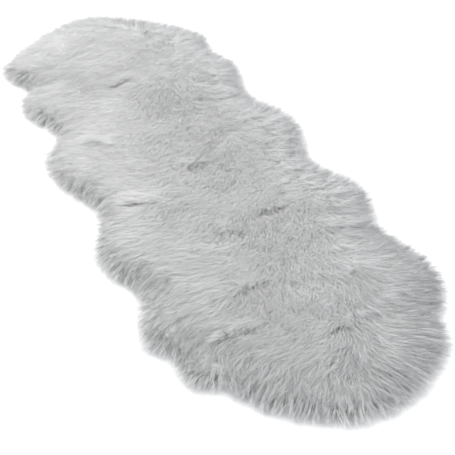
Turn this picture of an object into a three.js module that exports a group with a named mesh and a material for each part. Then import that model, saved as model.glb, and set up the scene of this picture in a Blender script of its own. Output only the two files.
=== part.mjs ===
// A long faux fur runner rug in the outline of two sheepskins laid nose to tail.
// Millimetres, +Z up, +X along the rug. The origin is on the floor under the middle of the rug.
// From the floor up: suede backing, foam, latex coat, knitted ground cloth, underfur, guard hair.
// The layers are held by a lockstitch set in from the edge and by thread overlocked over the edge.

import * as THREE from 'three';

// Overall size of the cloth, edge to edge. The pile leans out past it by PILE_SPREAD.
const CLOTH_LENGTH = 1800;
const CLOTH_WIDTH = 610;

// The turning points of the +Y and the -Y side, as shares of the half length and half width:
// each widest place of a lobe and each narrowest place of a notch between two lobes. The two
// sides differ a little, as two pelts do.
const PLUS_Y_TURNS = [
  [-0.72, 0.86],
  [-0.62, 0.81],
  [-0.5, 0.91],
  [-0.31, 0.785],
  [-0.12, 0.985],
  [0.1, 0.815],
  [0.275, 1],
  [0.455, 0.85],
  [0.635, 0.975],
  [0.87, 0.67],
];
const MINUS_Y_TURNS = [
  [-0.775, 0.9],
  [-0.645, 0.77],
  [-0.53, 0.925],
  [-0.36, 0.765],
  [-0.155, 0.99],
  [0.09, 0.8],
  [0.28, 1],
  [0.445, 0.845],
  [0.6, 1],
  [0.69, 0.88],
  [0.75, 0.885],
  [0.84, 0.63],
];
// Past its last turn a side closes on the end as (1 - share ** power) ** root
const FAR_END = { power: 1.35, root: 0.8 };
const NEAR_END = { power: 1.1, root: 0.55 };
const OUTLINE_STEPS = 144; // straight stretches round the whole outline

// Layers, from the floor up
const BACKING_THICK = 2;
const FOAM_THICK = 5;
const LATEX_THICK = 0.5;
const KNIT_THICK = 1.2;
const UNDERFUR_HEIGHT = 24;
const GUARD_HAIR_HEIGHT = 25; // how far the long hair stands above the underfur
const LAYER_GAP = 0.3; // between any two layers, and between a thread and its seat

// How far the pile leans out past the edge of the cloth
const PILE_SPREAD = 35;
const UNDERFUR_SPREAD = 12;
const PILE_LIFT = 1; // the lowest hair over the floor

// The outer faces of the two piles, from below the edge up to the flat top: share of the spread,
// share of the height, and for the underfur which way a gap moves the point, down or up
const UNDERFUR_PROFILE = [
  [0.8, 0.2, -1],
  [1, 0.5, 0],
  [0.4, 0.88, 1],
  [-1, 1, 1],
];
const PILE_PROFILE = [
  [0.65, 0],
  [0.95, 0.12],
  [1, 0.3],
  [0.8, 0.64],
  [0.25, 0.87],
  [-0.5, 0.97],
  [-1, 1],
];

// Thread and label
const OVERLOCK_THICK = 2;
const STITCH_INSET = 9; // from the cloth's edge to the middle of the stitch line
const STITCH_WIDTH = 1.2;
const STITCH_THICK = 0.8;
const STITCH_LIFT = 0.2; // the thread's lowest face over the floor
const GROOVE_SIDE_GAP = 0.4; // between the stitch and each side of the groove that it pulls
const LABEL_LENGTH = 30; // how far the folded tape stands out of the edge
const LABEL_WIDTH = 24;
const LABEL_THICK = 0.5;
const LABEL_LIFT = 0.2;
const LABEL_LOBE = 4; // the turn in PLUS_Y_TURNS whose widest place holds the label

// Heights of the faces between layers
const FOAM_BASE = BACKING_THICK + LAYER_GAP;
const LATEX_BASE = FOAM_BASE + FOAM_THICK + LAYER_GAP;
const KNIT_BASE = LATEX_BASE + LATEX_THICK + LAYER_GAP;
const KNIT_TOP = KNIT_BASE + KNIT_THICK;
const UNDERFUR_BASE = KNIT_TOP + LAYER_GAP;
const UNDERFUR_TOP = UNDERFUR_BASE + UNDERFUR_HEIGHT;
const PILE_TOP = UNDERFUR_TOP + GUARD_HAIR_HEIGHT;

// ---- Outline ----

// How far a side stands out from the middle line at a place along the rug.
function halfWidthAt(along, turns) {
  const [farAlong, farOut] = turns[0];
  const [nearAlong, nearOut] = turns[turns.length - 1];
  const closing = (share, { power, root }) => Math.max(0, 1 - share ** power) ** root;
  if (along <= farAlong) return farOut * closing((farAlong - along) / (farAlong + 1), FAR_END);
  if (along >= nearAlong) {
    return nearOut * closing((along - nearAlong) / (1 - nearAlong), NEAR_END);
  }
  const next = turns.findIndex(([place]) => place > along);
  const [lastAlong, lastOut] = turns[next - 1];
  const [nextAlong, nextOut] = turns[next];
  const share = (along - lastAlong) / (nextAlong - lastAlong);
  return lastOut + (nextOut - lastOut) * (0.5 - 0.5 * Math.cos(Math.PI * share));
}

// One side's edge from the +X tip to the -X tip as equally spaced points, drawn towards +Y.
function sideEdge(turns) {
  const fineSteps = 600;
  const side = [];
  for (let i = 0; i <= fineSteps; i += 1) {
    const along = Math.cos((Math.PI * i) / fineSteps);
    const x = (along * CLOTH_LENGTH) / 2;
    const y = (halfWidthAt(along, turns) * CLOTH_WIDTH) / 2;
    side.push(new THREE.Vector2(x, y));
  }
  const run = [0];
  for (let i = 1; i < side.length; i += 1) run.push(run[i - 1] + side[i].distanceTo(side[i - 1]));
  const points = [];
  let at = 0;
  for (let k = 0; k <= OUTLINE_STEPS / 2; k += 1) {
    const wanted = (run[fineSteps] * k) / (OUTLINE_STEPS / 2);
    while (at < fineSteps - 1 && run[at + 1] < wanted) at += 1;
    const share = (wanted - run[at]) / (run[at + 1] - run[at]);
    points.push(side[at].clone().lerp(side[at + 1], share));
  }
  return points;
}

// The cloth's whole edge, anticlockwise from the +X tip.
function clothEdge() {
  const lower = sideEdge(MINUS_Y_TURNS).slice(1, -1).reverse();
  return [...sideEdge(PLUS_Y_TURNS), ...lower.map((p) => new THREE.Vector2(p.x, -p.y))];
}

const EDGE = clothEdge();
const OUTWARD = EDGE.map((_, i) => {
  const before = EDGE[(i + EDGE.length - 1) % EDGE.length];
  const after = EDGE[(i + 1) % EDGE.length];
  return new THREE.Vector2(after.y - before.y, before.x - after.x).normalize();
});

// The edge moved outward by a distance, or inward by a negative one.
function edgeMoved(outward) {
  return EDGE.map((p, i) => p.clone().addScaledVector(OUTWARD[i], outward));
}

// ---- Solids that follow the outline ----

// A section is a list of [outward, height] points; each becomes one ring round the rug.
function ringVertices(section) {
  return section.flatMap(([outward, height]) =>
    edgeMoved(outward).flatMap((p) => [p.x, p.y, height]));
}

function wallTriangles(lowRing, highRing) {
  const count = EDGE.length;
  const faces = [];
  for (let i = 0; i < count; i += 1) {
    const next = (i + 1) % count;
    const [a, b] = [lowRing * count + i, lowRing * count + next];
    const [c, d] = [highRing * count + i, highRing * count + next];
    faces.push(a, b, d, a, d, c);
  }
  return faces;
}

function geometryOf(vertices, faces) {
  const geometry = new THREE.BufferGeometry();
  geometry.setAttribute('position', new THREE.Float32BufferAttribute(vertices, 3));
  geometry.setIndex(faces);
  geometry.computeVertexNormals();
  return geometry;
}

// A layer's section runs from the flat underside out round the edge to the flat top.
function layerGeometry(section) {
  const faces = [];
  for (let ring = 0; ring + 1 < section.length; ring += 1) {
    faces.push(...wallTriangles(ring, ring + 1));
  }
  const addCap = (ring, facesUp) => {
    const outline = edgeMoved(section[ring][0]);
    const first = ring * EDGE.length;
    for (const [a, b, c] of THREE.ShapeUtils.triangulateShape(outline, [])) {
      faces.push(first + a, first + (facesUp ? b : c), first + (facesUp ? c : b));
    }
  };
  addCap(0, false);
  addCap(section.length - 1, true);
  return geometryOf(ringVertices(section), faces);
}

// A band's section is a closed loop, anticlockwise with outward to the right and height up.
function bandGeometry(section) {
  const faces = section.flatMap((_, ring) => wallTriangles(ring, (ring + 1) % section.length));
  return geometryOf(ringVertices(section), faces);
}

function slab(base, thickness) {
  return layerGeometry([[0, base], [0, base + thickness]]);
}

// ---- Pieces ----

const rug = new THREE.Group();

function addPiece(name, geometry, color, roughness) {
  const material = new THREE.MeshStandardMaterial({ color, roughness, metalness: 0 });
  const mesh = new THREE.Mesh(geometry, material);
  mesh.name = name;
  rug.add(mesh);
  return mesh;
}

// The backing's underside has the shallow groove that the stitch line pulls into it.
function suedeBacking() {
  const halfGroove = STITCH_WIDTH / 2 + GROOVE_SIDE_GAP;
  const grooveTop = STITCH_LIFT + STITCH_THICK + LAYER_GAP;
  return layerGeometry([
    [-STITCH_INSET - halfGroove, 0],
    [-STITCH_INSET - halfGroove, grooveTop],
    [-STITCH_INSET + halfGroove, grooveTop],
    [-STITCH_INSET + halfGroove, 0],
    [0, 0],
    [0, BACKING_THICK],
  ]);
}

function perimeterStitch() {
  const outer = -STITCH_INSET + STITCH_WIDTH / 2;
  const inner = -STITCH_INSET - STITCH_WIDTH / 2;
  const low = STITCH_LIFT;
  const high = STITCH_LIFT + STITCH_THICK;
  return bandGeometry([[inner, low], [outer, low], [outer, high], [inner, high]]);
}

function edgeOverlock() {
  const inner = LAYER_GAP;
  const outer = LAYER_GAP + OVERLOCK_THICK;
  return bandGeometry([
    [inner, LAYER_GAP],
    [outer, LAYER_GAP],
    [outer, KNIT_TOP],
    [inner, KNIT_TOP],
  ]);
}

// The underfur leans out a little all round. The same section, grown by a gap, is the hollow
// that the guard hair leaves for it.
function underfurSection(gap) {
  return UNDERFUR_PROFILE.map(([out, up, way]) => [
    out * (UNDERFUR_SPREAD + gap),
    UNDERFUR_BASE + UNDERFUR_HEIGHT * up + gap * way,
  ]);
}

function underfurPile() {
  return layerGeometry([[0, UNDERFUR_BASE], ...underfurSection(0)]);
}

// The guard hair covers the underfur and hangs past the edge almost to the floor.
function guardHairPile() {
  const hollowGap = 2 * LAYER_GAP;
  const skirtInner = LAYER_GAP + OVERLOCK_THICK + 3 * LAYER_GAP;
  return layerGeometry([
    ...underfurSection(hollowGap).reverse(),
    [skirtInner, UNDERFUR_BASE],
    [skirtInner, PILE_LIFT],
    ...PILE_PROFILE.map(([out, up]) => [
      out * PILE_SPREAD,
      PILE_LIFT + up * (PILE_TOP - PILE_LIFT),
    ]),
  ]);
}

addPiece('suede_backing', suedeBacking(), '#b9b5ae', 0.95);
addPiece('perimeter_stitch', perimeterStitch(), '#e4e1db', 0.7);
addPiece('foam_interlining', slab(FOAM_BASE, FOAM_THICK), '#e9e4cf', 0.9);
addPiece('latex_back_coat', slab(LATEX_BASE, LATEX_THICK), '#d9d6cd', 0.6);
addPiece('knit_ground_cloth', slab(KNIT_BASE, KNIT_THICK), '#dcdcdb', 0.9);
addPiece('edge_overlock', edgeOverlock(), '#d2d1ce', 0.8);
addPiece('underfur_pile', underfurPile(), '#cfcfce', 1);
addPiece('guard_hair_pile', guardHairPile(), '#dededd', 0.8);

// The label is caught in the edge and lies flat under the hair, pointing straight out.
const lobeCrest = new THREE.Vector2(...PLUS_Y_TURNS[LABEL_LOBE]);
lobeCrest.multiply(new THREE.Vector2(CLOTH_LENGTH / 2, CLOTH_WIDTH / 2));
const distances = EDGE.map((p) => p.distanceTo(lobeCrest));
const labelIndex = distances.indexOf(Math.min(...distances));
const labelOutward = LAYER_GAP + OVERLOCK_THICK + LAYER_GAP + LABEL_LENGTH / 2;
const labelMiddle = edgeMoved(labelOutward)[labelIndex];
const label = addPiece(
  'care_label',
  new THREE.BoxGeometry(LABEL_LENGTH, LABEL_WIDTH, LABEL_THICK),
  '#f2f1ee',
  0.6,
);
label.position.set(labelMiddle.x, labelMiddle.y, LABEL_LIFT + LABEL_THICK / 2);
label.rotation.z = OUTWARD[labelIndex].angle();

export default rug;
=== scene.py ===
"""A long faux fur runner rug in the outline of two sheepskins laid nose to tail.

Metres, +Z up, +X along the rug towards its rounder end, +Y towards the side with the label.
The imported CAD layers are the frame. The outline and the heights of every piece come from them.
The fur is real geometry: over 200,000 tapered strands that gather into tufts and locks.
"""

import math

import bpy
import numpy as np
from mathutils import Matrix, Vector


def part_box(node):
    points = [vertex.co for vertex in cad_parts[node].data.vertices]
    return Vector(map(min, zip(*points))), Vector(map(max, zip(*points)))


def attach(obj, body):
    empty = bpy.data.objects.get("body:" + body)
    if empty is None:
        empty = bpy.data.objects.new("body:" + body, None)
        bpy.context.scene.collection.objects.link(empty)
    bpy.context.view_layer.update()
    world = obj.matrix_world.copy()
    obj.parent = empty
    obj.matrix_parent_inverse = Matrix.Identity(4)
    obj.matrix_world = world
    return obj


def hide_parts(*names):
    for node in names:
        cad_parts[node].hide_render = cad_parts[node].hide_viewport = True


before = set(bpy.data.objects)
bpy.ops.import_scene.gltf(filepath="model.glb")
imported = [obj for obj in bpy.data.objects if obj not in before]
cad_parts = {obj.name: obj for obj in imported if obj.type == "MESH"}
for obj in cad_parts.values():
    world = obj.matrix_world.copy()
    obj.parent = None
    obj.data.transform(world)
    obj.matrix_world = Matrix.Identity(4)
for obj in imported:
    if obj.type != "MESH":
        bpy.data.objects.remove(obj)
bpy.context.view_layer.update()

# ---- Camera and light ----

CAMERA_TARGET = (0.2385, -0.0131, 0.0)
CAMERA_DISTANCE = 2.772
CAMERA_AZIMUTH = 67.9  # degrees from the view along +Y
CAMERA_ELEVATION = 35.6  # degrees
CAMERA_ROLL = -1.49  # degrees
CAMERA_LENS = 94.95  # mm
SENSOR_WIDTH = 36  # mm

# ---- Places that the frame gives ----

KNIT_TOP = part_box("knit_ground_cloth")[1].z
PILE_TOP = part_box("guard_hair_pile")[1].z
HALF_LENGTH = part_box("knit_ground_cloth")[1].x
HALF_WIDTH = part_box("knit_ground_cloth")[1].y

# ---- Smooth functions ----


def smooth_step(value, low, high):
    """0 up to low, 1 from high on, and a smooth rise between them."""
    share = np.clip((value - low) / (high - low), 0, 1)
    return share * share * (3 - 2 * share)


def unit(vectors):
    """The vectors, each made one long."""
    return vectors / np.linalg.norm(vectors, axis=-1, keepdims=True)


def noise(points, cell, seed):
    """Smooth noise from -1 to 1 over the plane, with bumps about one cell wide."""
    size = 64  # cells before the noise repeats
    table = np.random.default_rng(seed).uniform(-1, 1, (size, size))
    turn = seed * 0.7  # turned, so that the lattices of two noises don't line up
    spin = np.array([[math.cos(turn), -math.sin(turn)], [math.sin(turn), math.cos(turn)]])
    place = points @ spin / cell + size / 2
    low = np.floor(place).astype(int)
    share = place - low
    share = share * share * (3 - 2 * share)
    x0, y0 = low[:, 0] % size, low[:, 1] % size
    x1, y1 = (x0 + 1) % size, (y0 + 1) % size
    left = table[x0, y0] * (1 - share[:, 1]) + table[x0, y1] * share[:, 1]
    right = table[x1, y0] * (1 - share[:, 1]) + table[x1, y1] * share[:, 1]
    return left * (1 - share[:, 0]) + right * share[:, 0]


def turned(vectors, angle):
    """Plane vectors turned anticlockwise, each by its own angle."""
    cosine, sine = np.cos(angle), np.sin(angle)
    x, y = vectors[:, 0], vectors[:, 1]
    return np.stack([x * cosine - y * sine, x * sine + y * cosine], axis=1)


# ---- The cloth's outline ----

EDGE_SPLITS = 8  # points of the smooth outline for each straight stretch of the CAD's
FIELD_STEP = 0.008  # spacing of the grid that holds the distance to the edge
FIELD_MARGIN = 0.1  # how far that grid reaches past the cloth
PULL_REACH = 0.032  # how far along the edge its outward direction is blended


def cloth_outline():
    """The cloth's edge as a closed smooth loop, anticlockwise from the +X tip."""
    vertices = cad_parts["knit_ground_cloth"].data.vertices
    corners = np.unique(np.round([v.co[:2] for v in vertices], 5), axis=0)
    tip = np.abs(corners[:, 1]) < 1e-4
    upper = corners[(corners[:, 1] > 0) | tip]
    lower = corners[(corners[:, 1] <= 0) & ~tip]
    upper = upper[np.argsort(-upper[:, 0])]
    lower = lower[np.argsort(lower[:, 0])]
    now = np.concatenate([upper, lower])
    before, after, beyond = np.roll(now, 1, 0), np.roll(now, -1, 0), np.roll(now, -2, 0)
    loop = []
    for k in range(EDGE_SPLITS):
        t = k / EDGE_SPLITS  # along a Catmull-Rom curve from each corner to the one after it
        loop.append(
            now
            + 0.5 * t * (after - before)
            + t * t * (before - 2.5 * now + 2 * after - 0.5 * beyond)
            + t**3 * (1.5 * (now - after) + 0.5 * (beyond - before))
        )
    return np.stack(loop, axis=1).reshape(-1, 2)


def outward_of(loop):
    """The direction out of the loop at each of its points."""
    along = np.roll(loop, -1, 0) - np.roll(loop, 1, 0)
    return unit(np.stack([along[:, 1], -along[:, 0]], axis=1))


EDGE = cloth_outline()
OUTWARD = outward_of(EDGE)


def sides_at(x):
    """Where the -Y side and the +Y side of the cloth lie at places along the rug."""
    sides = []
    for side in (EDGE[EDGE[:, 1] <= 0], EDGE[EDGE[:, 1] >= 0]):
        side = side[np.argsort(side[:, 0])]
        sides.append(np.interp(x, side[:, 0], side[:, 1], left=0, right=0))
    return sides


def edge_field():
    """Over a grid: how deep inside the edge each place is, and the way out, as x and y."""
    xs = np.arange(-HALF_LENGTH - FIELD_MARGIN, HALF_LENGTH + FIELD_MARGIN, FIELD_STEP)
    ys = np.arange(-HALF_WIDTH - FIELD_MARGIN, HALF_WIDTH + FIELD_MARGIN, FIELD_STEP)
    field = np.zeros((len(xs), len(ys), 3))
    for i, x in enumerate(xs):
        away = np.hypot(x - EDGE[None, :, 0], ys[:, None] - EDGE[None, :, 1])
        nearest = away.min(axis=1)
        weight = np.exp(-(away - nearest[:, None]) / PULL_REACH)
        pull = weight @ OUTWARD / weight.sum(axis=1, keepdims=True)
        low, high = sides_at(x)
        inside = (ys > low) & (ys < high)
        field[i, :, 0] = np.where(inside, nearest, -nearest)
        field[i, :, 1:] = pull
    return xs[0], ys[0], field


FIELD = edge_field()


def edge_values(points):
    """Depth inside the edge and outward pull at each point, read from the grid."""
    x0, y0, field = FIELD
    place = (points - (x0, y0)) / FIELD_STEP
    place[:, 0] = np.clip(place[:, 0], 0, field.shape[0] - 1.001)
    place[:, 1] = np.clip(place[:, 1], 0, field.shape[1] - 1.001)
    low = place.astype(int)
    i, j = low[:, 0], low[:, 1]
    u, v = (place - low).T[:, :, None]
    mixed = (field[i, j] * (1 - u) + field[i + 1, j] * u) * (1 - v)
    mixed += (field[i, j + 1] * (1 - u) + field[i + 1, j + 1] * u) * v
    return mixed[:, 0], mixed[:, 1:]


# ---- Which way the pile leans ----

DRIFT_HEADING = math.radians(-42)  # the lean in the middle of the rug
DRIFT_TURN = math.radians(40)  # how far that turns from the middle to the -Y side
PLUS_Y_TURN = 0.4  # the share of that turn on the +Y side
# The soft wander of the drift's heading: across one bend in metres, reach in radians, and seed
DRIFT_WANDER = [(0.26, 0.6, 11), (0.09, 0.4, 21)]
DRIFT_STRENGTH = 0.82
WAVE_STRENGTH = 0.28  # how much the waves add to the strength or take from it
# The waves' cell in metres, how much longer they are across the lay, their share, and seed
WAVES = [(0.06, 1.8, 0.7, 43), (0.025, 2, 0.3, 44)]

EDGE_ZONE = 0.055  # how deep the edge pulls the pile outward
NEAR_EDGE_ZONE = 0.08  # how much deeper at the near end
EDGE_TURN = math.radians(38)  # the -Y edge is combed this far towards the near end
EDGE_MIXING = 0.25  # how unevenly the strands choose between the edge and the drift
PLUS_Y_MIXING = 0.65  # how much more so along the +Y side
MIXING_CELL = 0.003

# Partings, where the pile stands up behind a line and falls flat before it: its middle x and y in
# metres, which way it runs in degrees from +X, and its half length
PARTINGS = [
    (-0.46, -0.01, 96, 0.05),
    (-0.18, -0.16, 62, 0.04),
    (0.11, -0.15, 84, 0.04),
    (0.0, 0.01, 100, 0.03),
    (0.25, 0.1, 88, 0.04),
    (0.3, -0.02, 70, 0.03),
    (0.37, 0.2, 84, 0.05),
    (0.53, 0.11, 76, 0.07),
    (0.5, -0.05, 104, 0.05),
    (0.67, 0.1, 118, 0.09),
    (0.62, -0.13, 96, 0.05),
    (-0.29, 0.16, 78, 0.04),
]
PARTING_REACH = 0.028  # how far a parting is felt on either side
PARTING_WAVER = 0.012  # how far its line wanders
PARTING_RISE = 0.75  # the share of the lean that the pile behind it loses
PARTING_FALL = 0.7  # the lean away from the line that the pile before it gains


def near_share(points):
    """0 over the smooth half of the rug, rising to 1 at its shaggy +X end."""
    return smooth_step(points[:, 0], 0.1, 0.75)


def wave_at(points):
    """Soft waves in the pile, longer across the lay than along it, from -1 to 1."""
    along = turned(points, np.full(len(points), -DRIFT_HEADING))
    return sum(share * noise(along / (1, longer), cell, seed) for cell, longer, share, seed in WAVES)


def drift_at(points):
    """The heading and the strength of the lean where no edge pulls on the pile."""
    across = points[:, 1] / HALF_WIDTH
    heading = DRIFT_HEADING + DRIFT_TURN * np.where(across < 0, across, PLUS_Y_TURN * across)
    for cell, reach, seed in DRIFT_WANDER:
        heading += reach * noise(points, cell, seed)
    return heading, DRIFT_STRENGTH + WAVE_STRENGTH * wave_at(points)


def edge_share(points, depth, firmness):
    """How far each strand goes with the edge. Most go either with it or with the drift, and few in
    between, so that the two leave no parting where they meet."""
    near = near_share(points)
    plus_side = smooth_step(points[:, 1] / HALF_WIDTH, 0, 0.5) * (1 - near)
    zone = EDGE_ZONE + NEAR_EDGE_ZONE * near
    pull = (1 - 0.15 * plus_side) * np.exp(-((np.maximum(depth, 0) / zone) ** 2))
    pull *= smooth_step(firmness, 0.1, 0.9)
    mixing = EDGE_MIXING + PLUS_Y_MIXING * plus_side
    return smooth_step(pull - 0.5 - mixing * noise(points, MIXING_CELL, 93), -0.25, 0.25)


def combed_along(points, out):
    """The way out of the rug, turned towards the near end along the -Y side but not round its end."""
    along_side = smooth_step(-points[:, 1] / HALF_WIDTH, 0.1, 0.8)
    round_end = smooth_step(points[:, 0], 0.55, 0.9)
    return turned(out, EDGE_TURN * along_side * (1 - 0.8 * round_end))


def parted(points, lean):
    """The lean with every parting pressed into it."""
    for x, y, direction, half_length in PARTINGS:
        angle = math.radians(direction)
        way = (math.cos(angle), math.sin(angle))
        away = (math.sin(angle), -math.cos(angle))
        run, side = (points - (x, y)) @ way, (points - (x, y)) @ away
        side = side + PARTING_WAVER * noise(points, 0.03, 91)
        reach = np.exp(-((side / PARTING_REACH) ** 2))
        reach *= smooth_step(-np.abs(run), -half_length * 1.3, -half_length * 0.6)
        before = smooth_step(side, -0.004, 0.004)
        lean = lean * (1 - PARTING_RISE * reach * (1 - 0.6 * before))[:, None]
        lean += np.outer(PARTING_FALL * reach * before, away)
    return lean


def lean_at(points):
    """The pile's lean as a vector, up to 1 long where it lies down flat."""
    depth, out = edge_values(points)
    out = out / np.maximum(np.linalg.norm(out, axis=1, keepdims=True), 0.3)
    firmness = np.linalg.norm(out, axis=1)  # under 1 in a notch, where the ways out disagree
    pull = edge_share(points, depth, firmness)
    out = combed_along(points, out)
    heading, strength = drift_at(points)
    # The heading turns from the drift's to the edge's, so the pile never stands up in between
    swing = np.arctan2(out[:, 1], out[:, 0]) - heading
    heading += pull * np.arctan2(np.sin(swing), np.cos(swing))
    strength = strength * (1 - pull) + firmness * pull
    lean = np.stack([np.cos(heading), np.sin(heading)], axis=1) * strength[:, None]
    lean = parted(points, lean)
    size = np.linalg.norm(lean, axis=1, keepdims=True)
    return lean / np.maximum(size, 1)


# ---- Strands ----

RING_STEPS = (0, 4, 7, 12)  # the steps of growth where a strand has a ring, and its tip
TAPER = (1.0, 0.92, 0.62)  # the radius of each ring as a share of the strand's
FLOOR_LIFT = 0.0018  # how near the floor a strand may hang
FLOOR_RAGGED = 0.003  # and how much higher it may stop
FULL_HEIGHT = PILE_TOP - 0.003  # strands that would stand higher are shortened
RAGGED = 0.006  # how far above or below that height they end


def scattered_cells(cell, seed):
    """A grid's corner, and one random point in each of its square cells, which cover the rug."""
    x0, y0, field = FIELD
    shape = tuple(int(size * FIELD_STEP / cell) + 3 for size in field.shape[:2])
    corner = np.array([x0 - cell, y0 - cell])
    where = np.stack(np.meshgrid(np.arange(shape[0]), np.arange(shape[1]), indexing="ij"), axis=2)
    jitter = np.random.default_rng(seed).uniform(0.05, 0.95, (*shape, 2))
    return corner, (where + jitter) * cell + corner


def nearest_cell(points, cell, corner, centres):
    """The index of each point's nearest scattered centre."""
    home = ((points - corner) / cell).astype(int)
    best = np.full(len(points), np.inf)
    found = np.zeros(len(points), int)
    for di in (-1, 0, 1):
        for dj in (-1, 0, 1):
            i = np.clip(home[:, 0] + di, 0, centres.shape[0] - 1)
            j = np.clip(home[:, 1] + dj, 0, centres.shape[1] - 1)
            away = ((centres[i, j] - points) ** 2).sum(axis=1)
            closer = away < best
            best = np.where(closer, away, best)
            found = np.where(closer, i * centres.shape[1] + j, found)
    return found


def roots_on_cloth(count, inset, seed):
    """Random points on the cloth, evenly spread, at least inset inside its edge."""
    rng = np.random.default_rng(seed)
    points = np.zeros((0, 2))
    while len(points) < count:
        tries = rng.uniform(-1, 1, (count, 2)) * (HALF_LENGTH, HALF_WIDTH)
        depth, _ = edge_values(tries)
        points = np.concatenate([points, tries[depth > inset]])
    return points[:count]


def grow(roots, height, heading, curl, tilts, bends, length):
    """The path of each strand. It stands at its root's tilt until its first bend place, then curves
    over until its second, and runs on at its tip's tilt. Tilts are from upright."""
    steps = RING_STEPS[-1]
    share = (np.arange(steps) + 0.5) / steps
    over = smooth_step(share[None, :], bends[0][:, None], bends[1][:, None])
    tilt = tilts[0][:, None] + (tilts[1] - tilts[0])[:, None] * over
    turn = heading[:, None] + curl[:, None] * share
    stride = (length / steps)[:, None]
    move = np.stack(
        [np.sin(tilt) * np.cos(turn), np.sin(tilt) * np.sin(turn), np.cos(tilt)], axis=2
    ) * stride[:, :, None]
    path = np.zeros((len(roots), len(RING_STEPS), 3))
    path[:, 1:] = np.cumsum(move, axis=1)[:, np.array(RING_STEPS[1:]) - 1]
    path[:, :, :2] += roots[:, None, :]
    path[:, :, 2] += np.reshape(height, (-1, 1))
    return path


def kept_low(path, rng):
    """Shortens each strand that would stand higher than the pile's top, give or take a little."""
    root = path[:, :1]
    rise = (path - root)[:, :, 2].max(axis=1)
    top = FULL_HEIGHT - KNIT_TOP + rng.uniform(-RAGGED, RAGGED, len(path))
    return root + (path - root) * np.minimum(1, top / rise)[:, None, None]


def lay_on_floor(path, rng):
    """Lifts what would sink into the cloth or the floor."""
    flat = path.reshape(-1, 3)
    depth, _ = edge_values(flat[:, :2])
    lowest = np.where(depth > 0, KNIT_TOP, FLOOR_LIFT + rng.uniform(0, FLOOR_RAGGED, len(flat)))
    flat[:, 2] = np.maximum(flat[:, 2], lowest)
    return flat.reshape(path.shape)


class Clumps:
    """Strands that gather towards shared centres, one centre in each cell of a jittered grid."""

    def __init__(self, roots, cell, seed):
        rng = np.random.default_rng(seed)
        corner, centres = scattered_cells(cell, seed)
        self.of_root = nearest_cell(roots, cell, corner, centres)
        self.centres = centres.reshape(-1, 2)
        self.offset = self.centres[self.of_root] - roots
        self.rng = rng

    def swap(self, other, where):
        """Gives the strands picked by where to the other set of clumps."""
        first = len(self.centres)
        self.of_root = np.where(where, other.of_root + first, self.of_root)
        self.offset = np.where(where[:, None], other.offset, self.offset)
        self.centres = np.concatenate([self.centres, other.centres])

    def spread(self, width):
        """One random number for each clump, given to all its strands."""
        values = np.clip(self.rng.normal(0, 1, len(self.centres)), -2, 2)
        return width * values[self.of_root]


# ---- Guard hair ----

STRANDS = 190000
PIECES_OF_FUR = 16
STRAND_RADIUS = (0.00035, 0.0006)
TUFT_CELL = 0.009  # across one pointed tuft
FRINGE_TUFT_CELL = 0.012  # across one of the coarser tufts round the edge
LOCK_CELL = 0.028  # across one lock of several tufts
RIM = 0.03  # how deep the thin rim of the pile is
UNDER_SHARE = 0.5  # the share of the shaggiest pile's strands that lie under the locks

# Each recipe says what a strand has in the plain pile, and what each zone of zones_at adds to it
COMBED_DEPTH = {"plain": 0.05, "minus_y": 0.015, "near": 0.07}
SHAGGINESS = {"plain": 0.45, "near": 0.55, "minus_y": 0.5}
FREEDOM = {"plain": 1, "shaggy": -0.85}  # how much of its own way a strand goes
WITH_TUFT = {"plain": 0.5, "shaggy": 0.45}  # how much of its tuft's lean it takes
HEADING_OF_TUFT = {"plain": 0.08, "shaggy": 0.12}  # radians
HEADING_OF_LOCK = {"plain": 0.10, "near": 0.10}
HEADING_OF_STRAND = {"plain": 0.26, "combed": -0.1}
LENGTH = {"plain": 0.074, "combed": -0.008, "near": 0.006}  # metres
LENGTH_OF_TUFT = {"plain": 0.03, "shaggy": 0.05}  # shares of the length
LENGTH_OF_WAVE = {"plain": 0.16, "combed": -0.16}
LENGTH_LEFT = {"plain": 1, "rim": -0.20, "cropped": -0.15}
FIRST_BEND = {"plain": 0.14, "combed": -0.14}  # shares of the way up a strand
LAST_BEND = {"plain": 0.62, "combed": -0.10}
ROOT_TILT = {"plain": 4, "strength": 10, "combed": 22, "rim": 16, "under_combed": 14}  # degrees
TIP_TILT = {"plain": 60, "strength": 31, "rim": 6, "cropped": -18}
TUFT_HOLD = {"plain": 0.12, "shaggy": 0.83}  # how far its tip is drawn to the tuft's middle
LOCK_HOLD = {"plain": 0.05, "near_combed": 0.25}
# Apart from plain, each step of the strand tone below is painted shade, not the fibre's own colour:
# darker on the combed edge pile (less so on the -Y side), the rim, the cropped +Y edge and the near
# end, and much darker on the layer under the locks
SHADE = {  # 0 is the darkest strand and 1 the lightest
    "plain": 0.91, "combed": -0.32, "minus_y_combed": 0.24, "rim": -0.10, "cropped": -0.2,
    "near": -0.04, "under_shaggy": -0.62,
}
SHADE_OF_TUFT = {"plain": 0.02, "shaggy": 0.05}
UNDER_LENGTH = 0.9  # the strands under the locks are shorter than the rest, and gather less
UNDER_HOLD = 0.1
# How far one tuft, and one strand, differs from the next
TUFT_SPREAD = {"strength": 0.05, "curl": 0.15}
STRAND_SPREAD = {
    "strength": 0.05, "length": 0.07, "first_bend": 0.03, "last_bend": 0.05, "tip_tilt": 5,
    "curl": 0.22, "shade": 0.02,
}
PAINTED_PATCH_CELL = 0.05  # across the soft patches of painted light and shade on the pile
PAINTED_PATCH_SHADE = 0.08


def mixed(recipe, zones):
    """A recipe's value for each strand."""
    return sum(amount * zones[zone] for zone, amount in recipe.items())


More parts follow.
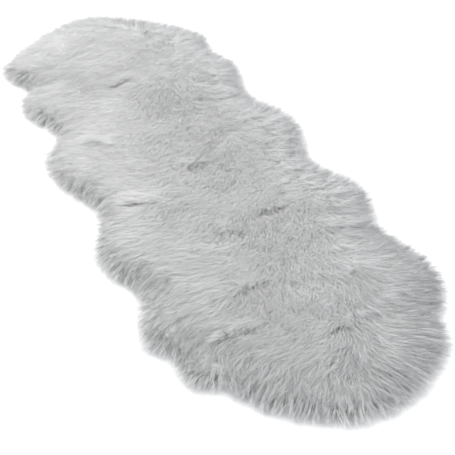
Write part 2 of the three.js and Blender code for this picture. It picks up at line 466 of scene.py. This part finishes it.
def zones_at(roots, rng):
    """How far each strand is in each zone of the pile, from 0 to 1.

    near is the shaggy +X end, and minus_y the -Y side. combed is the pile that is combed outward, rim
    its last few centimetres, and shaggy where it gathers to coarse locks. cropped is the +Y edge,
    which stands up short. under is true for the strands of the layer under the locks, whose
    darker colour is painted shade."""
    depth = np.maximum(edge_values(roots)[0], 0)
    near = near_share(roots)
    minus_y = smooth_step(-roots[:, 1], -0.06, 0.06)
    zones = {"plain": 1, "near": near, "minus_y": minus_y}
    combed = np.exp(-((depth / mixed(COMBED_DEPTH, zones)) ** 2))
    shaggy = combed * np.clip(mixed(SHAGGINESS, zones), 0, 1)
    rim = np.exp(-((depth / RIM) ** 2))
    under = rng.uniform(0, 1, len(roots)) < UNDER_SHARE * shaggy
    return zones | {
        "combed": combed,
        "rim": rim,
        "shaggy": shaggy,
        "cropped": rim * (1 - near) * smooth_step(roots[:, 1], 0, 0.1),
        "under": under,
        "near_combed": near * combed,
        "minus_y_combed": minus_y * combed,
        "under_combed": under * combed,
        "under_shaggy": under * shaggy,
    }


def drawn_together(path, clumps, hold, power):
    """The strands drawn to the middles of their clumps, the more so the nearer their tips."""
    share = np.array(RING_STEPS)[None, :] / RING_STEPS[-1]
    path[:, :, :2] += clumps.offset[:, None, :] * (hold[:, None] * share**power)[:, :, None]
    return path


def guard_hair():
    """Paths, radii and shades of the long top strands."""
    rng = np.random.default_rng(5)
    roots = roots_on_cloth(STRANDS, 0.001, 3)
    count = len(roots)
    zones = zones_at(roots, rng)
    under = zones["under"]

    tufts = Clumps(roots, TUFT_CELL, 7)
    coarse = Clumps(roots, FRINGE_TUFT_CELL, 8)
    tufts.swap(coarse, rng.uniform(0, 1, count) < zones["shaggy"])
    locks = Clumps(roots, LOCK_CELL, 9)
    own = np.clip(rng.normal(0, 1, (6, count)), -2, 2)
    free = np.where(under, 1, mixed(FREEDOM, zones))
    spread = STRAND_SPREAD

    with_tuft = mixed(WITH_TUFT, zones)
    lean = lean_at(tufts.centres)[tufts.of_root] * with_tuft[:, None]
    lean += lean_at(roots) * (1 - with_tuft)[:, None]
    heading = np.arctan2(lean[:, 1], lean[:, 0])
    heading += tufts.spread(1) * mixed(HEADING_OF_TUFT, zones)
    heading += locks.spread(1) * mixed(HEADING_OF_LOCK, zones)
    heading += mixed(HEADING_OF_STRAND, zones) * free * own[0]
    strength = np.linalg.norm(lean, axis=1) + tufts.spread(TUFT_SPREAD["strength"])
    strength += spread["strength"] * free * own[1]
    zones["strength"] = np.clip(strength, 0.2, 1.05)

    length = mixed(LENGTH, zones) * mixed(LENGTH_LEFT, zones) * np.where(under, UNDER_LENGTH, 1)
    uneven = tufts.spread(1) * mixed(LENGTH_OF_TUFT, zones)
    length *= 1 + uneven + spread["length"] * free * own[2]
    length *= 1 + wave_at(roots) * mixed(LENGTH_OF_WAVE, zones)
    first_bend = mixed(FIRST_BEND, zones) + spread["first_bend"] * own[3]
    last_bend = mixed(LAST_BEND, zones) + spread["last_bend"] * own[3]
    root_tilt = np.radians(mixed(ROOT_TILT, zones) * (1 - 0.5 * zones["cropped"]))
    tip_tilt = np.radians(mixed(TIP_TILT, zones) + spread["tip_tilt"] * free * own[4])
    curl = tufts.spread(TUFT_SPREAD["curl"]) + spread["curl"] * free * own[5]
    path = grow(
        roots, KNIT_TOP, heading, curl, (root_tilt, tip_tilt), (first_bend, last_bend), length
    )
    path = kept_low(path, rng)
    tuft_hold = np.where(under, UNDER_HOLD, mixed(TUFT_HOLD, zones))
    path = drawn_together(path, tufts, tuft_hold, 1.1)
    path = drawn_together(path, locks, np.where(under, 0, mixed(LOCK_HOLD, zones)), 1.6)
    path = lay_on_floor(path, rng)

    radius = rng.uniform(*STRAND_RADIUS, count)
    # The recipe's tone with its painted shade, and random steps from tuft to tuft and strand to
    # strand
    shade = mixed(SHADE, zones) + tufts.spread(1) * mixed(SHADE_OF_TUFT, zones)
    # Soft patches of painted light and shade, lighter and darker pile in puffs about one cell wide
    shade += spread["shade"] * rng.normal(0, 1, count) + PAINTED_PATCH_SHADE * noise(roots, PAINTED_PATCH_CELL, 62)
    return path, radius, np.clip(shade, 0.02, 0.97)


# ---- Meshes ----

MAP_MARGIN = 0.02  # how far inside its square a strand's map stays
MAP_SPREAD = 0.003  # how far apart its three sides lie on the map


def strand_mesh(name, path, radius, shade, rng):
    """One mesh of closed, tapered, three-sided strands. Its map holds shade across and length up."""
    count = len(path)
    rings = len(RING_STEPS) - 1
    around = 3
    overall = path[:, -1] - path[:, 0]
    side = unit(np.cross(overall, rng.normal(0, 1, (count, 3))))
    per_strand = rings * around + 1
    points = np.zeros((count, per_strand, 3), np.float32)
    across = np.zeros((count, per_strand))
    up = np.zeros((count, per_strand))
    for k in range(rings):
        tangent = unit(path[:, k + 1] - path[:, max(k - 1, 0)])
        first = unit(side - tangent * (side * tangent).sum(axis=1, keepdims=True))
        second = np.cross(tangent, first)
        reach = (radius * TAPER[k])[:, None]
        length = RING_STEPS[k] / RING_STEPS[-1]
        for j in range(around):
            angle = 2 * math.pi * j / around
            spoke = first * math.cos(angle) + second * math.sin(angle)
            points[:, k * around + j] = path[:, k] + spoke * reach
            across[:, k * around + j] = shade + MAP_SPREAD * (j - 1)
            up[:, k * around + j] = MAP_MARGIN + (1 - 2 * MAP_MARGIN) * length
    points[:, -1] = path[:, -1]
    across[:, -1] = shade
    up[:, -1] = 1 - MAP_MARGIN

    faces = [(2, 1, 0)]
    for k in range(rings - 1):
        for j in range(around):
            a, b = k * around + j, k * around + (j + 1) % around
            c, d = a + around, b + around
            faces += [(a, b, d), (a, d, c)]
    top = (rings - 1) * around
    faces += [(top + j, top + (j + 1) % around, per_strand - 1) for j in range(around)]
    faces = np.array(faces)
    corners = (np.arange(count)[:, None, None] * per_strand + faces[None]).reshape(-1)
    flat_map = np.stack([across.reshape(-1), up.reshape(-1)], axis=1)
    return mesh_of(name, points.reshape(-1, 3), corners, flat_map)


def mesh_of(name, points, corners, flat_map=None):
    """A smooth-shaded triangle mesh object, which may have one map place for each vertex."""
    mesh = bpy.data.meshes.new(name)
    faces = len(corners) // 3
    mesh.vertices.add(len(points))
    mesh.vertices.foreach_set("co", points.astype(np.float32).ravel())
    mesh.loops.add(len(corners))
    mesh.loops.foreach_set("vertex_index", corners.astype(np.int32))
    mesh.polygons.add(faces)
    mesh.polygons.foreach_set("loop_start", np.arange(0, len(corners), 3, dtype=np.int32))
    mesh.polygons.foreach_set("use_smooth", np.ones(faces, bool))
    mesh.update(calc_edges=True)
    if flat_map is not None:
        layer = mesh.uv_layers.new(name="OFBake")
        layer.data.foreach_set("uv", flat_map[corners].astype(np.float32).ravel())
    piece = bpy.data.objects.new(name, mesh)
    bpy.context.scene.collection.objects.link(piece)
    return piece


# ---- Materials ----


def new_material(name, roughness):
    material = bpy.data.materials.new(name)
    material.use_nodes = True
    shader = material.node_tree.nodes["Principled BSDF"]
    shader.inputs["Roughness"].default_value = roughness
    return material, material.node_tree, shader


def feed(tree, node, inputs):
    """Gives each named input of a node a value, or a link from another node's output."""
    for name, value in inputs.items():
        if isinstance(value, bpy.types.NodeSocket):
            tree.links.new(value, node.inputs[name])
        else:
            node.inputs[name].default_value = value


def add_node(tree, kind, inputs, **settings):
    """A new shader node, fed as its inputs say."""
    node = tree.nodes.new("ShaderNode" + kind)
    for setting, value in settings.items():
        setattr(node, setting, value)
    feed(tree, node, inputs)
    return node


def color_between(tree, first, second, share):
    """The output of a node that goes from the first color to the second as the share rises."""
    inputs = {"A": first, "B": second, "Factor": share}
    return add_node(tree, "Mix", inputs, data_type="RGBA").outputs["Result"]


def strand_material(name, dark, light, root_share):
    """Fibre from dark to light by each strand's shade, and a little darker towards its root, which is
    painted shade deep in the pile.
    """
    material, tree, shader = new_material(name, 0.55)
    place = add_node(tree, "UVMap", {}, uv_map="OFBake").outputs["UV"]
    place = add_node(tree, "SeparateXYZ", {"Vector": place}).outputs
    # Darker towards the root: painted shade deep in the pile
    rise = add_node(
        tree, "MapRange", {"Value": place["Y"], "From Max": 0.7, "To Min": root_share},
        interpolation_type="SMOOTHSTEP",
    )
    tone = color_between(tree, (*dark, 1), (*light, 1), place["X"])
    feed(tree, shader, {
        "Base Color": color_between(tree, (0, 0, 0, 1), tone, rise.outputs["Result"]),
        "Subsurface Weight": 0.8,
        "Subsurface Radius": (1, 1, 1),
        "Subsurface Scale": 0.006,
        "Sheen Weight": 0.1,
        "Sheen Roughness": 0.4,
    })
    return material


def textile_material(name, dark, light, roughness, patch, grain, relief, sheen=0.0):
    """Cloth, foam or thread whose tone drifts over patches, with a fine raised grain. In metres."""
    material, tree, shader = new_material(name, roughness)
    place = add_node(tree, "TexCoord", {}).outputs["Object"]
    patches = add_node(tree, "TexNoise", {"Vector": place, "Scale": 1 / patch, "Detail": 5})
    fine = add_node(tree, "TexNoise", {"Vector": place, "Scale": 1 / grain, "Detail": 3})
    both = add_node(tree, "Math", {}, operation="ADD")
    tree.links.new(patches.outputs["Fac"], both.inputs[0])
    tree.links.new(fine.outputs["Fac"], both.inputs[1])
    spread = {"Value": both.outputs["Value"], "From Min": 0.7, "From Max": 1.3}
    spread = add_node(tree, "MapRange", spread).outputs["Result"]
    matte = {"To Min": roughness - 0.1, "To Max": min(roughness + 0.1, 1)}
    matte = add_node(tree, "MapRange", {"Value": fine.outputs["Fac"], **matte})
    bump = add_node(tree, "Bump", {"Height": fine.outputs["Fac"], "Distance": relief})
    feed(tree, shader, {
        "Base Color": color_between(tree, (*dark, 1), (*light, 1), spread),
        "Roughness": matte.outputs["Result"],
        "Normal": bump.outputs["Normal"],
        "Sheen Weight": sheen,
    })
    return material


def ribbed_material(name, dark, light, roughness, pitch, relief):
    """Cloth of two crossed sets of ribs: loops of a knit, or the yarns of a woven tape, with painted
    shade that darkens the colour down between the ribs. In metres.
    """
    material, tree, shader = new_material(name, roughness)
    place = add_node(tree, "TexCoord", {}).outputs["Object"]
    place = add_node(tree, "SeparateXYZ", {"Vector": place}).outputs
    cross = add_node(tree, "Math", {}, operation="MULTIPLY")
    for k, (axis, spacing) in enumerate(zip("XY", pitch)):
        phase = add_node(tree, "Math", {}, operation="MULTIPLY")
        phase.inputs[1].default_value = 2 * math.pi / spacing
        tree.links.new(place[axis], phase.inputs[0])
        rib = add_node(tree, "Math", {}, operation="SINE")
        tree.links.new(phase.outputs["Value"], rib.inputs[0])
        tree.links.new(rib.outputs["Value"], cross.inputs[k])
    height = {"Value": cross.outputs["Value"], "From Min": -1}
    height = add_node(tree, "MapRange", height).outputs["Result"]
    bump = add_node(tree, "Bump", {"Height": height, "Distance": relief})
    # The colour follows the height of the ribs: painted shade, darker down between them
    feed(tree, shader, {
        "Base Color": color_between(tree, (*dark, 1), (*light, 1), height),
        "Normal": bump.outputs["Normal"],
    })
    return material


# ---- Layers, thread and label ----

LAYER_ROUNDING = 0.0004  # radius of a layer's cut edge
SPINE_SHARE = 0.86  # the length of the middle line that the rings close on, as a share of the rug's
INNER_RINGS = (0, 0.12, 0.25, 0.4, 0.55, 0.7, 0.85, 0.97)  # ways in from the border to that line
BORDER = 0.024  # how far in from the edge the rings follow the outline
STITCH_PITCH = 0.0036
STITCH_INSET = 0.009
GROOVE_FLOOR = 0.0009  # half the width of the floor of the groove that the stitches lie in
GROOVE_TOP = 0.0016  # half its width at the underside of the cloth
GROOVE_CLEARANCE = 0.0003  # how far the groove clears the thread
OVERLOCK_PITCH = 0.0026
CHAIN_STEPS = 4  # points of an overlock chain for each loop that it links
THREAD_RADIUS = 0.0004
CHAIN_RADIUS = 0.00032
LABEL_WIDTH = 0.024
LABEL_THICK = 0.00018


def ring_points(outward, share, height):
    """The outline moved outward, then a share of the way in to the middle line."""
    place = EDGE + OUTWARD * outward
    spine = EDGE * (SPINE_SHARE, 0)
    place = place + (spine - place) * share
    up = height(place) if callable(height) else np.full(len(place), height)
    return np.column_stack([place, up])


def walls_between(rings, count):
    """The corners of the walls that join closed rings, each of count points."""
    here = np.arange(count)
    after = np.roll(here, -1)
    a, b, c, d = here, after, here + count, after + count
    wall = np.stack([a, b, d, a, d, c], axis=1).reshape(-1)
    return [wall + k * count for k in range(rings - 1)]


def closed_layer(name, low_rings, high_rings):
    """A closed body from rings listed from the middle of its underside to the middle of its top."""
    rings = low_rings + high_rings
    points = np.concatenate([ring_points(*ring) for ring in rings])
    count = len(EDGE)
    faces = walls_between(len(rings), count)
    near, far = np.arange(count // 2), np.arange(1, count // 2 + 1)
    across = np.stack([near, far, -far % count, near, -far % count, -near % count], axis=1)
    across = across.reshape(-1, 3)
    real = (across[:, 0] != across[:, 1]) & (across[:, 1] != across[:, 2])
    across = across[real & (across[:, 0] != across[:, 2])]
    faces.append(across[:, ::-1].reshape(-1))
    faces.append(across.reshape(-1) + (len(rings) - 1) * count)
    return mesh_of(name, points, np.concatenate(faces))


def slab_rings(low, high, low_height=None, high_height=None, border=()):
    """The rings of a layer between two heights, with its cut edge rounded."""
    low_height = low if low_height is None else low_height
    high_height = high if high_height is None else high_height
    round_off = LAYER_ROUNDING
    inward = [(-BORDER, share, low_height) for share in reversed(INNER_RINGS)]
    inward += [(-depth, 0, height) for depth, height in border]
    inward += [(-round_off, 0, low), (0, 0, low + round_off)]
    back = [(0, 0, high - round_off), (-round_off, 0, high)]
    back += [(-BORDER, share, high_height) for share in INNER_RINGS]
    return inward, back


def tubes_mesh(name, path, beside, radius, sides, closed=False):
    """Round tubes, one for each path, capped unless each path closes on itself. No path runs along
    its own beside vector."""
    count, steps = path.shape[:2]
    if closed:
        tangent = np.roll(path, -1, 1) - np.roll(path, 1, 1)
    else:
        tangent = np.gradient(path, axis=1)
    first = unit(np.cross(tangent, beside))
    second = unit(np.cross(tangent, first))
    rings = []
    for j in range(sides):
        angle = 2 * math.pi * j / sides
        rings.append(path + radius * (first * math.cos(angle) + second * math.sin(angle)))
    points = np.stack(rings, axis=2).reshape(-1, 3)
    faces = []
    for k in range(steps if closed else steps - 1):
        for j in range(sides):
            a, b = k * sides + j, k * sides + (j + 1) % sides
            c, d = (a + sides) % (steps * sides), (b + sides) % (steps * sides)
            faces += [(a, b, d), (a, d, c)]
    if not closed:
        last = (steps - 1) * sides
        for j in range(1, sides - 1):
            faces += [(0, j + 1, j), (last, last + j, last + j + 1)]
    faces = np.array(faces)
    corners = (np.arange(count)[:, None, None] * steps * sides + faces[None]).reshape(-1)
    return mesh_of(name, points, corners)


def along_edge(outward, pitch):
    """Evenly spaced places round the moved outline, with the way along and the way out at each."""
    loop = EDGE + OUTWARD * outward
    stretch = np.linalg.norm(np.roll(loop, -1, 0) - loop, axis=1)
    run = np.concatenate([[0], np.cumsum(stretch)])
    wanted = np.linspace(0, run[-1], round(run[-1] / pitch) + 1)[:-1]
    closed = np.concatenate([loop, loop[:1]])
    place = np.stack([np.interp(wanted, run, closed[:, k]) for k in (0, 1)], axis=1)
    along = unit(np.roll(place, -1, 0) - np.roll(place, 1, 0))
    return place, along, np.stack([along[:, 1], -along[:, 0]], axis=1)


def paths_from(place, along, out, shape):
    """Copies of one small path, given as rows of along, outward and height, set round the edge."""
    shape = np.asarray(shape)
    flat = place[:, None] + along[:, None] * shape[None, :, :1] + out[:, None] * shape[None, :, 1:2]
    up = np.broadcast_to(shape[None, :, 2:], (len(place), len(shape), 1))
    return np.concatenate([flat, up], axis=2)


# ---- Pieces ----


def add_piece(piece, material, node):
    """Gives a piece its material, ties it to the rug and hides the CAD node that it replaces."""
    piece.data.materials.append(material)
    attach(piece, "root")
    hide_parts(node)


def add_backing():
    """The suede cloth on the floor, with the groove that the stitch line pulls into it."""
    low, high = (corner.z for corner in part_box("suede_backing"))
    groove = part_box("perimeter_stitch")[1].z + GROOVE_CLEARANCE

    def underside(place):
        return low + 0.0001 * (1 + noise(place, 0.012, 71))

    border = [
        (STITCH_INSET + GROOVE_TOP, underside),
        (STITCH_INSET + GROOVE_FLOOR, groove),
        (STITCH_INSET - GROOVE_FLOOR, groove),
        (STITCH_INSET - GROOVE_TOP, underside),
    ]
    piece = closed_layer("backing_cloth", *slab_rings(low, high, underside, border=border))
    material = textile_material(
        "suede", (0.43, 0.42, 0.40), (0.56, 0.55, 0.53),
        roughness=0.9, patch=0.03, grain=0.0006, relief=0.0003, sheen=0.35,
    )
    add_piece(piece, material, "suede_backing")


def add_foam():
    """The thin foam between the backing and the coated cloth."""
    low, high = (corner.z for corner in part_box("foam_interlining"))

    def underside(place):
        return low + 0.0002 * (1 + noise(place, 0.03, 72))

    def topside(place):
        return high - 0.0002 * (1 + noise(place, 0.03, 73))

    piece = closed_layer("foam_sheet", *slab_rings(low, high, underside, topside))
    material = textile_material(
        "foam", (0.80, 0.76, 0.62), (0.88, 0.85, 0.73),
        roughness=0.9, patch=0.05, grain=0.0012, relief=0.0006,
    )
    add_piece(piece, material, "foam_interlining")


def add_latex():
    """The thin coat that fixes the roots of the fibre, uneven as it is when spread by a blade."""
    low, high = (corner.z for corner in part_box("latex_back_coat"))

    def underside(place):
        return low + 0.00008 * (1 + noise(place / (4, 1), 0.006, 74))

    piece = closed_layer("latex_coat", *slab_rings(low, high, underside))
    material = textile_material(
        "latex", (0.66, 0.64, 0.58), (0.76, 0.74, 0.69),
        roughness=0.5, patch=0.02, grain=0.0008, relief=0.0002,
    )
    add_piece(piece, material, "latex_back_coat")


def add_knit():
    """The knitted cloth that the fibre is locked into."""
    low, high = (corner.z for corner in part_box("knit_ground_cloth"))
    piece = closed_layer("knit_cloth", *slab_rings(low, high))
    material = ribbed_material(
        "knit", (0.58, 0.58, 0.58), (0.74, 0.74, 0.74),
        roughness=0.9, pitch=(0.0014, 0.0011), relief=0.0004,
    )
    add_piece(piece, material, "knit_ground_cloth")


def add_stitches():
    """The lockstitch round the underside: each stitch dips into the cloth at its two ends."""
    low, high = (corner.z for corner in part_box("perimeter_stitch"))
    middle = (low + high) / 2
    place, along, out = along_edge(-STITCH_INSET, STITCH_PITCH)
    half = STITCH_PITCH / 2
    # Share of the way along to one end, then metres outward and up
    rise = [(0.4, 0.00006, 0), (0.74, 0.00012, 0.0002), (0.86, 0.00015, 0.00045)]
    back = [(-way * half, -aside, middle + up) for way, aside, up in reversed(rise)]
    ahead = [(way * half, aside, middle + up) for way, aside, up in rise]
    path = paths_from(place, along, out, [*back, (0, 0, middle - 0.00008), *ahead])
    beside = np.column_stack([out, np.zeros(len(out))])[:, None]
    piece = tubes_mesh("lockstitches", path, beside, THREAD_RADIUS, sides=6)
    material = textile_material(
        "stitch_thread", (0.72, 0.71, 0.68), (0.84, 0.83, 0.80),
        roughness=0.65, patch=0.01, grain=0.00025, relief=0.0001, sheen=0.2,
    )
    add_piece(piece, material, "perimeter_stitch")


def add_overlock():
    """Loops of thread over the stacked edges, and the two chains that link them."""
    low, high = (corner.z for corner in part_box("edge_overlock"))
    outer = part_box("edge_overlock")[1].x - HALF_LENGTH - THREAD_RADIUS
    place, along, out = along_edge(0, OVERLOCK_PITCH)
    tall = high - low - 2 * THREAD_RADIUS
    base = low + THREAD_RADIUS
    slant = 0.3 * OVERLOCK_PITCH
    section = [  # share of the way out, share of the way up
        (0.12, 0.04), (0.5, 0.0), (0.82, 0.1), (0.97, 0.3), (1.0, 0.5), (0.97, 0.7), (0.82, 0.9),
        (0.5, 1.0), (0.12, 0.96),
    ]
    shape = [(slant * (up - 0.5), outer * way, base + tall * up) for way, up in section]
    path = paths_from(place, along, out, shape)
    beside = np.column_stack([along, np.zeros(len(along))])[:, None]
    piece = tubes_mesh("overlock_loops", path, beside, THREAD_RADIUS, sides=5)
    material = textile_material(
        "overlock_thread", (0.66, 0.66, 0.65), (0.80, 0.80, 0.79),
        roughness=0.7, patch=0.012, grain=0.0003, relief=0.00012, sheen=0.2,
    )
    add_piece(piece, material, "edge_overlock")

    place, _, out = along_edge(0, OVERLOCK_PITCH / CHAIN_STEPS)
    count = len(place) // CHAIN_STEPS * CHAIN_STEPS
    phase = 2 * math.pi * np.arange(count) / CHAIN_STEPS
    for name, up in (("overlock_chain_low", 0.12), ("overlock_chain_high", 0.88)):
        way = outer * (0.66 + 0.14 * np.cos(phase))
        height = base + tall * up + THREAD_RADIUS * np.sin(phase)
        path = np.column_stack([place[:count] + out[:count] * way[:, None], height])[None]
        upright = np.array([0, 0, 1.0])
        piece = tubes_mesh(name, path, upright, CHAIN_RADIUS, sides=4, closed=True)
        add_piece(piece, material, "edge_overlock")


def folded_tape(reach, fold):
    """The folded tape's section as a closed loop of ways out and heights about its middle."""
    straight = np.linspace(-reach, reach, 12)
    turn = np.linspace(-math.pi / 2, math.pi / 2, 7)[1:-1]
    level = np.full(len(straight), fold)
    way = np.concatenate([straight, reach + fold * np.cos(turn), straight[::-1]])
    up = np.concatenate([-level, fold * np.sin(turn), level])
    middle = np.stack([way, up], axis=1)
    tangent = unit(np.stack([np.gradient(way), np.gradient(up)], axis=1))
    normal = np.stack([-tangent[:, 1], tangent[:, 0]], axis=1) * LABEL_THICK / 2
    return np.concatenate([middle + normal, (middle - normal)[::-1]])


def add_label():
    """The blank folded tape that stands out of the edge under the hair."""
    low_corner, high_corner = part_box("care_label")
    middle = (low_corner + high_corner) / 2
    nearest = np.argmin(np.hypot(*(EDGE - (middle.x, middle.y)).T))
    out = OUTWARD[nearest]
    along = np.array([-out[1], out[0]])
    fold = (high_corner.z - low_corner.z) / 2 - LABEL_THICK / 2
    reach = (high_corner.y - low_corner.y) / 2 - fold
    loop = folded_tape(reach, fold)
    columns = np.linspace(-0.5, 0.5, 9) * LABEL_WIDTH
    points = []
    for across in columns:
        flat = (middle.x, middle.y) + along * across + out * loop[:, :1]
        points.append(np.column_stack([flat, middle.z + loop[:, 1]]))
    points = np.concatenate(points)
    count = len(loop)
    faces = walls_between(len(columns), count)
    near = np.arange(count // 2 - 1)
    far = count - 1 - near
    caps = np.stack([near, far, far - 1, near, far - 1, near + 1], axis=1).reshape(-1, 3)
    faces.append(caps.reshape(-1))
    faces.append(caps[:, ::-1].reshape(-1) + (len(columns) - 1) * count)
    piece = mesh_of("label_tape", points, np.concatenate(faces))
    material = ribbed_material(
        "label_tape", (0.80, 0.80, 0.79), (0.90, 0.90, 0.89),
        roughness=0.5, pitch=(0.0004, 0.0003), relief=0.00006,
    )
    add_piece(piece, material, "care_label")


def add_strands(name, material, pieces, path, radius, shade, rng):
    """The strands in bands along the rug, so that no mesh is too large."""
    order = np.argsort(path[:, 0, 0], kind="stable")
    for k, band in enumerate(np.array_split(order, pieces)):
        piece = strand_mesh(f"{name}_{k + 1:02d}", path[band], radius[band], shade[band], rng)
        add_piece(piece, material, name + "_pile")


def add_guard_hair():
    """The long hair."""
    # The darker end of this range is painted shade, taken by the strands along the edges and under
    # the locks
    material = strand_material("guard_hair", (0.22, 0.22, 0.23), (0.97, 0.97, 0.965), 0.92)
    rng = np.random.default_rng(31)
    add_strands("guard_hair", material, PIECES_OF_FUR, *guard_hair(), rng)


# ---- Underfur ----

BODY_CLEARANCE = 0.0003  # between the knit and the matted body
BODY_INSET = 0.004  # how far short of the cloth's two tips the body stops
BODY_EDGE = 0.0001  # its thickness along its edge
BODY_HEIGHT = 0.0135
BODY_CROWN = 0.025  # how far inside the edge the body comes to its full height
BODY_LUMPS = [(0.018, 0.18, 41), (0.007, 0.15, 42)]  # across a lump, share of the height, seed
BODY_ROWS = 260
BODY_COLUMNS = 90
UNDERFUR_STRANDS = 48000
PIECES_OF_UNDERFUR = 4
UNDERFUR_ROOT = 0.006  # how far up in the body the short strands start
UNDERFUR_LENGTH = (0.020, 0.030)
UNDERFUR_RADIUS = (0.0003, 0.0005)


def add_underfur_body():
    """The matted mass of short fibre under the long hair, as a lumpy closed body. Its dark grey
    colour is painted shade, for the shade that falls deep in the pile.
    """
    angle = np.linspace(0, math.pi, BODY_ROWS)
    x = np.cos(angle) * (HALF_LENGTH - BODY_INSET)
    t = np.sin(np.linspace(-math.pi / 2, math.pi / 2, BODY_COLUMNS))
    low_side, high_side = sides_at(x)
    y = low_side[:, None] * (1 - t) / 2 + high_side[:, None] * (1 + t) / 2
    place = np.stack([np.repeat(x[:, None], BODY_COLUMNS, 1), y], axis=2).reshape(-1, 2)
    crown = np.sqrt(np.clip(edge_values(place)[0] / BODY_CROWN, 0, 1))
    lumps = 1 + sum(share * noise(place, cell, seed) for cell, share, seed in BODY_LUMPS)
    low = np.full(len(place), KNIT_TOP + BODY_CLEARANCE)
    top = low + BODY_EDGE + BODY_HEIGHT * crown * lumps
    points = np.concatenate([np.column_stack([place, top]), np.column_stack([place, low])])
    under = BODY_ROWS * BODY_COLUMNS
    index = np.arange(under).reshape(BODY_ROWS, BODY_COLUMNS)
    a, b = index[:-1, :-1].ravel(), index[1:, :-1].ravel()
    c, d = index[1:, 1:].ravel(), index[:-1, 1:].ravel()
    upper = np.stack([a, d, c, a, c, b], axis=1).reshape(-1)
    lower = np.stack([a, c, d, a, b, c], axis=1).reshape(-1) + under
    rim = np.concatenate([index[:, 0], index[-1, 1:], index[-2::-1, -1], index[0, -2:0:-1]])
    after = np.roll(rim, -1)
    walls = np.stack([rim, rim + under, after + under, rim, after + under, after], axis=1)
    piece = mesh_of("underfur_body", points, np.concatenate([upper, lower, walls.reshape(-1)]))
    # Dark grey: painted shade, for the shade deep down under the long hair
    material = textile_material(
        "underfur_body", (0.42, 0.42, 0.425), (0.58, 0.58, 0.58),
        roughness=0.95, patch=0.012, grain=0.0012, relief=0.0008,
    )
    add_piece(piece, material, "underfur_pile")


def add_underfur():
    """Short fine crimped strands that stand in the mass and fill between the long ones."""
    rng = np.random.default_rng(51)
    roots = roots_on_cloth(UNDERFUR_STRANDS, 0.002, 52)
    count = len(roots)
    lean = lean_at(roots)
    heading = np.arctan2(lean[:, 1], lean[:, 0]) + rng.normal(0, 0.8, count)
    root_tilt = np.radians(rng.uniform(5, 45, count))
    tip_tilt = np.radians(rng.uniform(30, 90, count))
    length = rng.uniform(*UNDERFUR_LENGTH, count)
    curl = rng.normal(0, 0.9, count)
    bends = np.zeros(count), np.ones(count)
    height = KNIT_TOP + UNDERFUR_ROOT
    path = lay_on_floor(grow(roots, height, heading, curl, (root_tilt, tip_tilt), bends, length), rng)
    radius = rng.uniform(*UNDERFUR_RADIUS, count)
    shade = rng.uniform(0.1, 0.9, count)
    material = strand_material("underfur", (0.50, 0.50, 0.505), (0.68, 0.68, 0.68), 0.9)
    add_strands("underfur", material, PIECES_OF_UNDERFUR, path, radius, shade, rng)


# ---- Stage ----


def add_camera():
    azimuth, elevation = math.radians(CAMERA_AZIMUTH), math.radians(CAMERA_ELEVATION)
    level = Vector((math.sin(azimuth), -math.cos(azimuth), 0))
    back = level * math.cos(elevation) + Vector((0, 0, math.sin(elevation)))
    camera = bpy.data.objects.new("camera", bpy.data.cameras.new("camera"))
    camera.data.lens = CAMERA_LENS
    camera.data.sensor_width = SENSOR_WIDTH
    camera.location = Vector(CAMERA_TARGET) + back * CAMERA_DISTANCE
    roll = Matrix.Rotation(math.radians(CAMERA_ROLL), 4, "Z")
    camera.rotation_mode = "QUATERNION"
    aim = (-back).to_track_quat("-Z", "Y").to_matrix().to_4x4()
    camera.rotation_quaternion = (aim @ roll).to_quaternion()
    bpy.context.scene.collection.objects.link(camera)
    bpy.context.scene.camera = camera


def add_floor():
    bpy.ops.mesh.primitive_plane_add(size=60, location=(0, 0, -0.0005))
    floor = bpy.context.object
    floor.name = "floor"
    material, _, shader = new_material("floor", 0.9)
    shader.inputs["Base Color"].default_value = (0.74, 0.74, 0.74, 1)
    floor.data.materials.append(material)


def add_light(name, place, target, size, watts, color):
    light = bpy.data.lights.new(name, "AREA")
    light.size = size
    light.energy = watts
    light.color = color
    lamp = bpy.data.objects.new(name, light)
    lamp.location = place
    aim = Vector(target) - Vector(place)
    lamp.rotation_mode = "QUATERNION"
    lamp.rotation_quaternion = aim.to_track_quat("-Z", "Y")
    bpy.context.scene.collection.objects.link(lamp)


def add_lighting():
    """A bright even room, brighter overhead, with a soft key above the far end on the -Y side and a
    fill beyond the near end."""
    scene = bpy.context.scene
    scene.view_settings.view_transform = "Standard"
    world = bpy.data.worlds.new("studio")
    scene.world = world
    world.use_nodes = True
    tree = world.node_tree
    place = add_node(tree, "TexCoord", {}).outputs["Generated"]
    up = add_node(tree, "SeparateXYZ", {"Vector": place}).outputs["Z"]
    rise = add_node(
        tree, "MapRange", {"Value": up, "From Max": 0.9, "To Min": 0.72, "To Max": 1.55},
        interpolation_type="SMOOTHSTEP",
    )
    room = tree.nodes["Background"]
    feed(tree, room, {"Color": (0.97, 0.985, 1.0, 1), "Strength": rise.outputs["Result"]})
    # The white that a lens sees past the floor
    seen = add_node(tree, "Background", {"Color": (1, 1, 1, 1)})
    ray = add_node(tree, "LightPath", {})
    mix = add_node(tree, "MixShader", {"Fac": ray.outputs["Is Camera Ray"]})
    tree.links.new(room.outputs["Background"], mix.inputs[1])
    tree.links.new(seen.outputs["Background"], mix.inputs[2])
    tree.links.new(mix.outputs["Shader"], tree.nodes["World Output"].inputs["Surface"])
    add_light(
        "key", place=(-1.1, -0.95, 2.9), target=(-0.15, 0, 0), size=2.4, watts=57,
        color=(1.0, 0.98, 0.945),
    )
    add_light(
        "fill", place=(3.0, -0.3, 1.2), target=(0.6, 0, 0), size=1.8, watts=25,
        color=(0.97, 0.98, 1.0),
    )


add_camera()
add_floor()
add_lighting()
add_backing()
add_stitches()
add_foam()
add_latex()
add_knit()
add_overlock()
add_label()
add_underfur_body()
add_underfur()
add_guard_hair()
